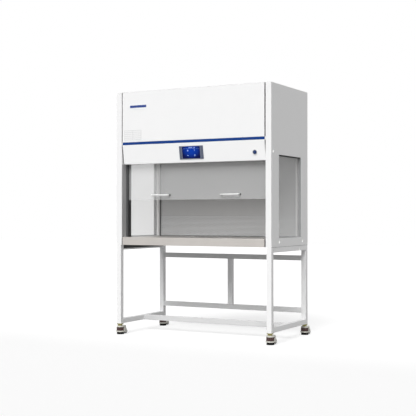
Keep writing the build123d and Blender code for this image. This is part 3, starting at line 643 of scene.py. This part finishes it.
# return-air panel: the lower part of the back, with coarser holes and a folded upper edge
returnAir = {
    "top": 0.909, "thickness": 0.0012, "fold": 0.0026, "foldHeight": 0.004, "edge": 0.0004, "clear": 0.0005,
}
returnPanel = bmesh.new()
panelX = innerX - returnAir["clear"]
for depth, bottom in (
    (returnAir["thickness"], worktopZ + returnAir["clear"]),
    (returnAir["fold"], returnAir["top"] - returnAir["foldHeight"]),
):
    addBox(
        returnPanel, (-panelX, grilleY - depth, bottom), (panelX, grilleY, returnAir["top"]),
        edge=returnAir["edge"],
    )
finishPiece(returnPanel, "returnPanel", "return_paint", "cabinet")

# dark joints of the cabinet on the stand and of the worktop against the back; a dark line in each back corner,
# partly joint and partly painted shade; and a black strip of painted shadow on the inner face of each top rail
joint = {
    "line": 0.0011, "lineRise": 0.00044, "lineDepth": 0.002, "lineEnd": 0.002, "proud": 0.0002,
    "corner": 0.0022, "cornerDepth": 0.009, "cornerDrop": 0.001, "bead": 0.0032, "edge": 0.0008,
    "railShadeHeight": 0.027, "railShadeThickness": 0.0015, "railShadeDrop": 0.0005, "railShadeEdge": 0.0004,
}
jointsAndPaintedShade = bmesh.new()
railLow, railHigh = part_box("top_rail_right")
for sign in sides:
    near, far = sorted((sign * (wallX - joint["lineDepth"]), sign * (wallX + joint["proud"])))
    addBox(
        jointsAndPaintedShade, (near, frontY + joint["lineEnd"], baseZ - joint["line"]),
        (far, backY - joint["lineEnd"], baseZ + joint["lineRise"]),
    )
    # dark line in the back corner: partly the joint, partly painted shade
    near, far = sorted((sign * innerX, sign * (innerX - joint["corner"])))
    addBox(
        jointsAndPaintedShade, (near, grilleY - joint["cornerDepth"], worktopZ),
        (far, grilleY, ceilingZ - joint["cornerDrop"]), edge=joint["edge"],
    )
    # black strip of painted shadow down the inner face of the top rail, under the cabinet
    near, far = sorted((sign * railLow.x, sign * (railLow.x - joint["railShadeThickness"])))
    addBox(
        jointsAndPaintedShade, (near, railLow.y, railHigh.z - joint["railShadeHeight"]),
        (far, railHigh.y, railHigh.z - joint["railShadeDrop"]), edge=joint["railShadeEdge"],
    )
addBox(
    jointsAndPaintedShade, (joint["corner"] - innerX, grilleY - joint["bead"], worktopZ),
    (innerX - joint["corner"], grilleY, worktopZ + joint["bead"]), edge=joint["edge"],
)
finishPiece(jointsAndPaintedShade, "jointsAndPaintedShade", "black_seal_and_shade", "cabinet")
print("seals made")

# grey strips of painted shade on the inner walls, from the front edge to each guide
wallShadeStrip = {"thickness": 0.0012, "setBack": 0.004, "top": 1.300, "edge": 0.0004, "clear": 0.0005}
guideLow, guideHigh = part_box("sash_guides")
wallShadeStrips = bmesh.new()
for sign in sides:
    near, far = sorted((sign * innerX, sign * (innerX - wallShadeStrip["thickness"])))
    addBox(
        wallShadeStrips, (near, frontY + wallShadeStrip["setBack"], worktopZ + wallShadeStrip["clear"]),
        (far, guideLow.y - wallShadeStrip["clear"], wallShadeStrip["top"]), edge=wallShadeStrip["edge"],
    )
finishPiece(wallShadeStrips, "wallShadeStrips", "painted_shade_grey", "cabinet")

# pile seals in front of and behind the glass, along the guides
pile = {"width": 0.0022, "gap": 0.0004, "depth": 0.0035, "guideWidth": 0.017, "clear": 0.0005, "edge": 0.0007}
sashFront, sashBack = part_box("sash_glass")[0].y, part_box("sash_glass")[1].y
pileX = innerX - pile["guideWidth"]
pileSeals = bmesh.new()
for sign in sides:
    near, far = sorted((sign * pileX, sign * (pileX - pile["width"])))
    for low, high in (
        (sashFront - pile["gap"] - pile["depth"], sashFront - pile["gap"]),
        (sashBack + pile["gap"], sashBack + pile["gap"] + pile["depth"]),
    ):
        addBox(
            pileSeals, (near, low, worktopZ + pile["clear"]), (far, high, guideHigh.z), edge=pile["edge"],
        )
finishPiece(pileSeals, "pileSeals", "black_seal_and_shade", "cabinet")

# bow handle: a rounded bar run out from the glass, round two bends and back
bow = {
    "length": 0.155, "width": 0.0080, "height": 0.0085, "edge": 0.0022, "edgeSteps": 4,
    "bend": 0.0085, "bendSteps": 6,
}
handleLow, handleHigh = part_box("sash_handles")
handleZ = (handleLow.z + handleHigh.z) / 2
handleX = handleHigh.x - bow["length"] / 2
legX = (bow["length"] - bow["width"]) / 2


def runFace(bm, face, step):
    grown = bmesh.ops.extrude_face_region(bm, geom=[face])["geom"]
    bmesh.ops.translate(bm, verts=[v for v in grown if isinstance(v, bmesh.types.BMVert)], vec=step)
    return next(f for f in grown if isinstance(f, bmesh.types.BMFace))


def bendFace(bm, face, x):
    spun = bmesh.ops.spin(
        bm, geom=[face, *face.edges, *face.verts], cent=(x, bendY, 0), axis=(0, 0, 1), dvec=(0, 0, 0),
        angle=math.pi / 2, steps=bow["bendSteps"],
        use_merge=False, use_normal_flip=False, use_duplicate=False,
    )
    return next(f for f in spun["geom_last"] if isinstance(f, bmesh.types.BMFace))


bowHandles = bmesh.new()
legRun = sashFront - handleLow.y - bow["width"] / 2 - bow["bend"]
bendY = sashFront - legRun
for sign in sides:
    middleX = sign * handleX
    made = set(bowHandles.faces)
    section = Matrix.Translation((middleX - legX, sashFront, handleZ)) @ Matrix.Rotation(math.pi / 2, 4, "X")
    section = section @ Matrix.Diagonal((bow["width"], bow["height"], 1.0, 1.0))
    flat = bmesh.ops.create_grid(bowHandles, x_segments=1, y_segments=1, size=0.5, matrix=section)
    bmesh.ops.bevel(
        bowHandles, geom=flat["verts"], offset=bow["edge"], segments=bow["edgeSteps"], profile=0.5,
        affect="VERTICES", material=-1, clamp_overlap=True,
    )
    end = next(f for f in bowHandles.faces if f not in made)
    end = runFace(bowHandles, end, (0, -legRun, 0))
    end = bendFace(bowHandles, end, middleX - legX + bow["bend"])
    end = runFace(bowHandles, end, (2 * legX - 2 * bow["bend"], 0, 0))
    end = bendFace(bowHandles, end, middleX + legX - bow["bend"])
    runFace(bowHandles, end, (0, legRun, 0))
bowPair = finishPiece(
    bowHandles, "bowHandles", "handle_paint", "sash", angle=smoothUpTo["bent"],
)
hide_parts("sash_handles")

# rubber sleeve and cap nut at each leg of a handle, through the glass
fixing = {
    "washer": 0.0075, "washerHeight": 0.0016, "washerRound": 0.0008,
    "sleeve": 0.0060, "sleeveFoot": 0.0018, "sleeveHeight": 0.009,
    "nut": 0.0068, "nutHeight": 0.0042,
}
sleeveProfile = [
    (0.0, fixing["sleeveHeight"]), (fixing["sleeve"] * 0.92, fixing["sleeveHeight"]),
    (fixing["sleeve"], fixing["sleeveHeight"] * 0.9), (fixing["sleeve"], fixing["sleeveFoot"]),
    (fixing["washer"] * 0.95, fixing["washerHeight"]), (fixing["washer"], fixing["washerRound"]),
    (fixing["washer"], 0.0), (0.0, 0.0),
]
handleFixings = bmesh.new()
for sign in sides:
    for x in (sign * handleX - legX, sign * handleX + legX):
        turned(handleFixings, sleeveProfile, facing((x, sashFront, handleZ), (0, -1, 0)), steps=20)
        addDome(handleFixings, (x, sashBack, handleZ), (0, 1, 0), fixing["nut"], fixing["nutHeight"])
finishPiece(
    handleFixings, "handleFixings", "black_seal_and_shade", "sash", angle=smoothUpTo["turned"],
)
print("sash fittings made")

# the leaning panel's own frame: X to the right, Y up the slope, Z outwards
panel = {
    "up": (0.0, -0.16221, 0.98677), "out": (0.0, -0.98677, -0.16221),
    "screen": (0.0, -0.3405, 1.374), "button": (0.516, -0.33823, 1.36016),
}
panelTurn = Matrix(((1, 0, 0), panel["up"], panel["out"])).transposed().to_4x4()
screenPlace = Matrix.Translation(panel["screen"]) @ panelTurn
buttonPlace = Matrix.Translation(panel["button"]) @ panelTurn

# lighter edge round the opening of the screen's surround
rim = {"width": 0.1565, "height": 0.0945, "band": 0.0022, "low": 0.0037, "high": 0.0045, "edge": 0.0003}
bezelRim = bmesh.new()
addRim(bezelRim, rim["width"], rim["height"], rim["band"], rim["low"], rim["high"], edge=rim["edge"])
finishPiece(bezelRim, "bezelRim", "bezel_edge", "cabinet", place=screenPlace)

# four icons in two rows, bars above them and a line between
icon = {
    "size": 0.0056, "column": 0.029, "upperRow": 0.0145, "lowerRow": -0.0215,
    "low": 0.0033, "high": 0.0036,
}
bars = {
    "title": ((-0.020, 0.0350), (0.012, 0.0372)), "rule": ((-0.066, 0.0288), (0.066, 0.0293)),
    "levels": 4, "levelX": 0.018, "levelStep": 0.004, "levelWidth": 0.0025,
    "levelBottom": 0.0335, "levelTop": 0.0348, "levelRise": 0.0012,
}
icons = bmesh.new()
iconSize = icon["size"]
iconMiddle = (icon["low"] + icon["high"]) / 2
iconDepth = icon["high"] - icon["low"]


def addFlat(low, high):
    addBox(icons, (*low, icon["low"]), (*high, icon["high"]))


# ring on the local XY plane, from radius inner to outer
def addRing(bm, x, y, inner, outer, low, high, steps=24):
    profile = [(inner, low), (inner, high), (outer, high), (outer, low), (inner, low)]
    turned(bm, profile, Matrix.Translation((x, y, 0.0)), steps=steps)


def addIconRing(x, y, inner, outer, steps=24):
    addRing(icons, x, y, inner, outer, icon["low"], icon["high"], steps=steps)


# fan: three blades and a hub in a ring
def addFanIcon(x, y):
    addIconRing(x, y, iconSize * 0.82, iconSize)
    addIconRing(x, y, 0.0001, iconSize * 0.2, steps=12)
    for blade in range(3):
        turn = Matrix.Rotation(math.tau * blade / 3, 4, "Z")
        shape = Matrix.Translation((iconSize * 0.46, iconSize * 0.1, 0))
        shape = shape @ Matrix.Diagonal((1.15, 0.8, 1.0, 1.0))
        bmesh.ops.create_cone(
            icons, cap_ends=True, segments=12, radius1=iconSize * 0.24, radius2=iconSize * 0.24,
            depth=iconDepth, matrix=Matrix.Translation((x, y, iconMiddle)) @ turn @ shape,
        )


# work light: a lamp with rays below it
def addLightIcon(x, y):
    addFlat((x - iconSize * 0.6, y + iconSize * 0.35), (x + iconSize * 0.6, y + iconSize * 0.75))
    for ray in (-1, 0, 1):
        slant = Matrix.Rotation(math.radians(35 * ray), 4, "Z")
        shape = Matrix.Translation((0, -iconSize * 0.5, iconMiddle))
        shape = shape @ Matrix.Diagonal((iconSize * 0.16, iconSize * 0.7, iconDepth, 1.0))
        bmesh.ops.create_cube(
            icons, size=1.0, matrix=Matrix.Translation((x, y + iconSize * 0.2, 0)) @ slant @ shape,
        )


# tube lamp: a bar between two ends
def addTubeIcon(x, y):
    addFlat((x - iconSize * 0.7, y - iconSize * 0.22), (x + iconSize * 0.7, y + iconSize * 0.22))
    for end in (-1, 1):
        near, far = sorted((x + end * iconSize * 0.85, x + end * iconSize))
        addFlat((near, y - iconSize * 0.4), (far, y + iconSize * 0.4))


# outlet: a ring with two holes in it
def addOutletIcon(x, y):
    addIconRing(x, y, iconSize * 0.78, iconSize)
    for hole in (-1, 1):
        addIconRing(x + hole * iconSize * 0.32, y, 0.0001, iconSize * 0.16, steps=12)


addFanIcon(-icon["column"], icon["upperRow"])
addLightIcon(icon["column"], icon["upperRow"])
addTubeIcon(-icon["column"], icon["lowerRow"])
addOutletIcon(icon["column"], icon["lowerRow"])
addFlat(*bars["title"])
for step in range(bars["levels"]):
    x = bars["levelX"] + bars["levelStep"] * step
    addFlat((x, bars["levelBottom"]), (x + bars["levelWidth"], bars["levelTop"] + bars["levelRise"] * step))
addFlat(*bars["rule"])
finishPiece(icons, "screenIcons", "icon_light", "cabinet", place=screenPlace)

# ring and stroke on the start button
mark = {
    "inner": 0.0055, "outer": 0.0060, "stroke": 0.0005, "strokeTop": 0.0042,
    "low": 0.0043, "high": 0.0047,
}
buttonMark = bmesh.new()
addRing(buttonMark, 0.0, 0.0, mark["inner"], mark["outer"], mark["low"], mark["high"], steps=32)
addBox(buttonMark, (-mark["stroke"], 0.0, mark["low"]), (mark["stroke"], mark["strokeTop"], mark["high"]))
finishPiece(buttonMark, "buttonMark", "mark_blue", "start_button", place=buttonPlace)
print("controls made")


# thin upright sheet between two corners given as (x, z), from sink behind face to rise in front of it
def addSheet(bm, low, high, face, sink, rise, edge=0.0):
    addBox(bm, (low[0], face - rise, low[1]), (high[0], face + sink, high[1]), edge=edge)


# blank name plate, with a plain bar across it
plate = {
    "low": (-0.535, 1.714), "high": (-0.378, 1.759), "rise": 0.0009, "edge": 0.0004,
    "margin": 0.006, "barHalf": 0.0095, "barRise": 0.0001, "barSink": 0.0002,
}
namePlate = bmesh.new()
addSheet(namePlate, plate["low"], plate["high"], frontY, 0.0, plate["rise"], edge=plate["edge"])
finishPiece(namePlate, "namePlate", "plate_white", "cabinet")
plateBar = bmesh.new()
barZ = (plate["low"][1] + plate["high"][1]) / 2
addSheet(
    plateBar, (plate["low"][0] + plate["margin"], barZ - plate["barHalf"]),
    (plate["high"][0] - plate["margin"], barZ + plate["barHalf"]),
    frontY - plate["rise"], plate["barSink"], plate["barRise"],
)
finishPiece(plateBar, "plateBar", "print_blue", "cabinet")

# blank card with ruled rows and columns
card = {
    "low": (-0.583, 1.481), "high": (-0.426, 1.560), "rise": 0.0003, "edge": 0.0001,
    "rows": 5, "columns": 2, "margin": 0.004, "lineHalf": 0.0006, "lineRise": 0.0001,
}
cardSheet = bmesh.new()
addSheet(cardSheet, card["low"], card["high"], frontY, 0.0, card["rise"], edge=card["edge"])
finishPiece(cardSheet, "cardSheet", "card_white", "cabinet")
cardLines = bmesh.new()
cardFace = frontY - card["rise"]
left, bottom = (value + card["margin"] for value in card["low"])
right, top = (value - card["margin"] for value in card["high"])
half = card["lineHalf"]
for z in spread(bottom, top, card["rows"] + 1):
    addSheet(cardLines, (left, z - half), (right, z + half), cardFace, card["lineRise"], card["lineRise"])
for x in spread(left, right, card["columns"] + 1):
    addSheet(cardLines, (x - half, bottom), (x + half, top), cardFace, card["lineRise"], card["lineRise"])
finishPiece(cardLines, "cardLines", "print_grey", "cabinet")
print("plates made")

# metal caps on the lamps, up to the holders
lampCap = {"length": 0.022, "clear": 0.0003, "radius": 0.013, "overlap": 0.0005, "chamfer": 0.0008}
lampLow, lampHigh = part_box("lamp_tubes")
lampZ = (lampLow.z + lampHigh.z) / 2
capInner, capOuter = lampCap["radius"] - lampCap["overlap"], lampCap["radius"] + lampCap["clear"]
capProfile = [
    (capInner, 0.0), (capOuter, 0.0), (capOuter, -lampCap["length"] * 0.92),
    (capOuter - lampCap["chamfer"], -lampCap["length"]), (capInner, -lampCap["length"]), (capInner, 0.0),
]
lampCaps = bmesh.new()
for y in (lampLow.y + lampCap["radius"], lampHigh.y - lampCap["radius"]):
    for sign in sides:
        turned(lampCaps, capProfile, facing((sign * lampHigh.x, y, lampZ), (sign, 0, 0)), steps=24)
finishPiece(lampCaps, "lampCaps", "cap_aluminium", "cabinet", angle=smoothUpTo["turned"])

# mains inlet with two fuse holders on the back cover, near the control box
inlet = {
    "x": 0.38, "z": 1.52, "halfWidth": 0.024, "halfHeight": 0.031,
    "rise": 0.004, "edge": 0.0015, "edgeSteps": 3, "sunk": 0.0005,
    "socketWidth": 0.032, "socketHeight": 0.026, "socketBand": 0.0028,
    "socketRise": 0.006, "socketY": 0.012, "socketEdge": 0.0006,
}
fuse = {
    "x": 0.012, "y": -0.018, "rise": 0.008, "roundRise": 0.007,
    "top": 0.0052, "shoulder": 0.0062, "foot": 0.0065,
}
inletPlace = Matrix.Translation((inlet["x"], backY, inlet["z"])) @ Matrix.Rotation(-math.pi / 2, 4, "X")
inletSeat = inlet["rise"] - inlet["sunk"]
inletBody = bmesh.new()
addBox(
    inletBody, (-inlet["halfWidth"], -inlet["halfHeight"], 0.0),
    (inlet["halfWidth"], inlet["halfHeight"], inlet["rise"]),
    edge=inlet["edge"], segments=inlet["edgeSteps"],
)
addRim(
    inletBody, inlet["socketWidth"], inlet["socketHeight"], inlet["socketBand"],
    inletSeat, inlet["rise"] + inlet["socketRise"], edge=inlet["socketEdge"], middle=(0.0, inlet["socketY"]),
)
fuseProfile = [
    (0.0, inlet["rise"] + fuse["rise"]), (fuse["top"], inlet["rise"] + fuse["rise"]),
    (fuse["shoulder"], inlet["rise"] + fuse["roundRise"]), (fuse["foot"], inletSeat), (0.0, inletSeat),
]
for x in (-fuse["x"], fuse["x"]):
    turned(inletBody, fuseProfile, Matrix.Translation((x, fuse["y"], 0.0)), steps=20)
finishPiece(inletBody, "mainsInlet", "socket_black", "cabinet", place=inletPlace)

# the inlet's three pins and the screws at its corners
pin = {
    "places": ((-0.007, 0.010), (0.007, 0.010), (0.0, 0.015)),
    "halfWidth": 0.001, "halfHeight": 0.002, "rise": 0.0045, "edge": 0.0003,
    "screwX": 0.020, "screwY": 0.026, "screwRadius": 0.0026, "screwHeight": 0.0012,
}
inletPins = bmesh.new()
for x, y in pin["places"]:
    addBox(
        inletPins, (x - pin["halfWidth"], y - pin["halfHeight"], inletSeat),
        (x + pin["halfWidth"], y + pin["halfHeight"], inlet["rise"] + pin["rise"]), edge=pin["edge"],
    )
for y in (pin["screwY"], -pin["screwY"]):
    for x in (-pin["screwX"], pin["screwX"]):
        addScrew(inletPins, (x, y, inlet["rise"]), (0, 0, 1), pin["screwRadius"], pin["screwHeight"])
finishPiece(inletPins, "inletPins", "cap_aluminium", "cabinet", place=inletPlace)
print("lamp caps and inlet made")

# screw heads at both ends of each wheel's axle, on the caster's cheeks
axle = {"cheek": 0.0137, "radius": 0.0048, "height": 0.0016}
joints = {entry["name"]: entry for entry in frame["joints"]}
for corner in ("front_left", "back_left", "front_right", "back_right"):
    wheel = joints["wheel_" + corner]
    center, along = Vector(wheel["pos_m"]), Vector(wheel["axis"])
    axleScrews = bmesh.new()
    for outwards in (-along, along):
        addScrew(axleScrews, center + outwards * axle["cheek"], outwards, axle["radius"], axle["height"])
    finishPiece(
        axleScrews, "axleScrews_" + corner, "cap_aluminium", "caster_body_" + corner,
        angle=smoothUpTo["turned"],
    )
print("caster details made")

# white where it is lit, dark enough in the object's shadow, and with more painted glow behind than in front, so a
# shade greyer in front and the object's shadow behind it washed out
floor = {
    "size": 40.0, "bounce": 0.30, "shade": 0.45,
    "frontGlow": 0.47, "backGlow": 0.68, "frontY": -1.2, "backY": 0.7,
}


def makeFloorFinish():
    material = bpy.data.materials.new("studioFloor")
    material.use_nodes = True
    tree = material.node_tree
    shader = tree.nodes["Principled BSDF"]
    shader.inputs["Roughness"].default_value = 1.0
    shader.inputs["Specular IOR Level"].default_value = 0.0
    shader.inputs["Emission Color"].default_value = (1.0, 1.0, 1.0, 1.0)
    seen = seenRays(tree)
    color = mixColor(tree, seen, (floor["bounce"],) * 3, (floor["shade"],) * 3)
    tree.links.new(color, shader.inputs["Base Color"])
    place = tree.nodes.new("ShaderNodeTexCoord")
    parts = tree.nodes.new("ShaderNodeSeparateXYZ")
    tree.links.new(place.outputs["Object"], parts.inputs[0])
    # painted light: the floor glows more towards the back, which washes out the object's shadow there
    fade = tree.nodes.new("ShaderNodeMapRange")
    fade.interpolation_type = "SMOOTHSTEP"
    fade.inputs["From Min"].default_value = floor["frontY"]
    fade.inputs["From Max"].default_value = floor["backY"]
    fade.inputs["To Min"].default_value = floor["frontGlow"]
    fade.inputs["To Max"].default_value = floor["backGlow"]
    tree.links.new(parts.outputs["Y"], fade.inputs["Value"])
    glow = mathNode(tree, "MULTIPLY", seen, fade.outputs["Result"])
    tree.links.new(glow, shader.inputs["Emission Strength"])
    return material


floorMesh = bmesh.new()
bmesh.ops.create_grid(floorMesh, x_segments=1, y_segments=1, size=floor["size"] / 2)
floorData = bpy.data.meshes.new("studioFloor")
floorMesh.to_mesh(floorData)
floorMesh.free()
floorData.materials.append(makeFloorFinish())
floorObject = bpy.data.objects.new("studioFloor", floorData)
bpy.context.scene.collection.objects.link(floorObject)
print("floor laid")
